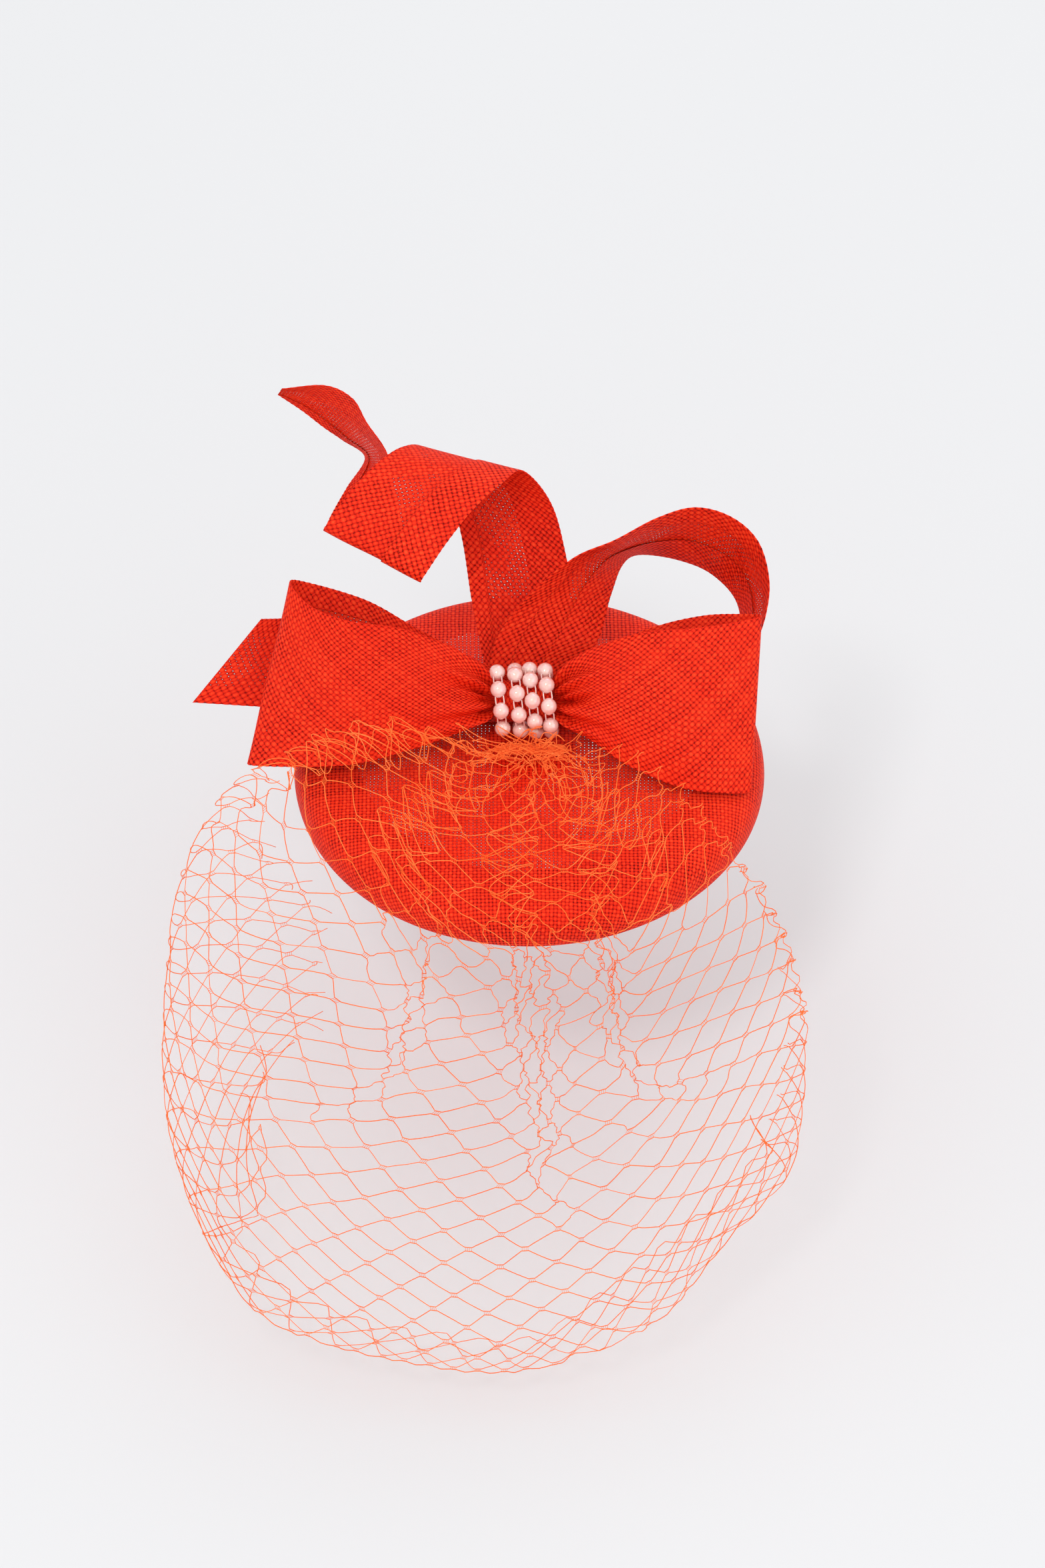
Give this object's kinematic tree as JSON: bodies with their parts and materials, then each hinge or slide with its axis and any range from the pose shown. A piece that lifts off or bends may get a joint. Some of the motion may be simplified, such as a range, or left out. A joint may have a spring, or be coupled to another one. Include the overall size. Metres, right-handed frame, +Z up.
{
  "type": "fascinator headpiece",
  "caption": "Shallow round sinamay fascinator base on a hair comb, with a two-loop bow, curled strips, pearl trim and a gathered face veil that lifts.",
  "frame": {"origin": "centre of the circular rim, in the plane that the base's lower edge lies in, where the base sits on the head", "axes": "+Z up through the middle of the crown, -Y towards the front, where the veil falls, +X towards the side with the plain bow loop"},
  "size_m": [0.2233, 0.2784, 0.2116],
  "materials": {
    "sinamay": "open straw weave",
    "petersham": "ribbed ribbon",
    "felt": "soft felt",
    "sewing_thread": "twisted thread",
    "netting": "open diamond net",
    "pearl": "pearlescent",
    "comb_plastic": "clear moulded",
    "wire": "drawn"
  },
  "bodies": {
    "headpiece": {"crown_shell": "sinamay", "crown_facing": "sinamay", "rim_wire": "wire", "head_ribbon": "petersham", "hair_comb": "comb_plastic", "comb_stitches_left": "sewing_thread", "comb_stitches_right": "sewing_thread", "felt_backing": "felt", "trim_base": "sinamay", "bow_loop_left": "sinamay", "bow_loop_right": "sinamay", "bow_tail_left": "sinamay", "bow_wrap": "sinamay", "curl_left": "sinamay", "curl_right": "sinamay", "pearl_string_1": "pearl", "pearl_string_2": "pearl", "pearl_string_3": "pearl", "pearl_string_4": "pearl", "veil_gather": "netting", "gather_thread": "sewing_thread"},
    "veil": {"veil_net": "netting"}
  },
  "joints": [
    {"name": "veil_lift", "type": "hinge", "parent": "headpiece", "child": "veil", "pos_m": [0, -0.00721, 0.02192], "axis": [-1, 0, 0], "range_deg": [0, 30]}
  ]
}
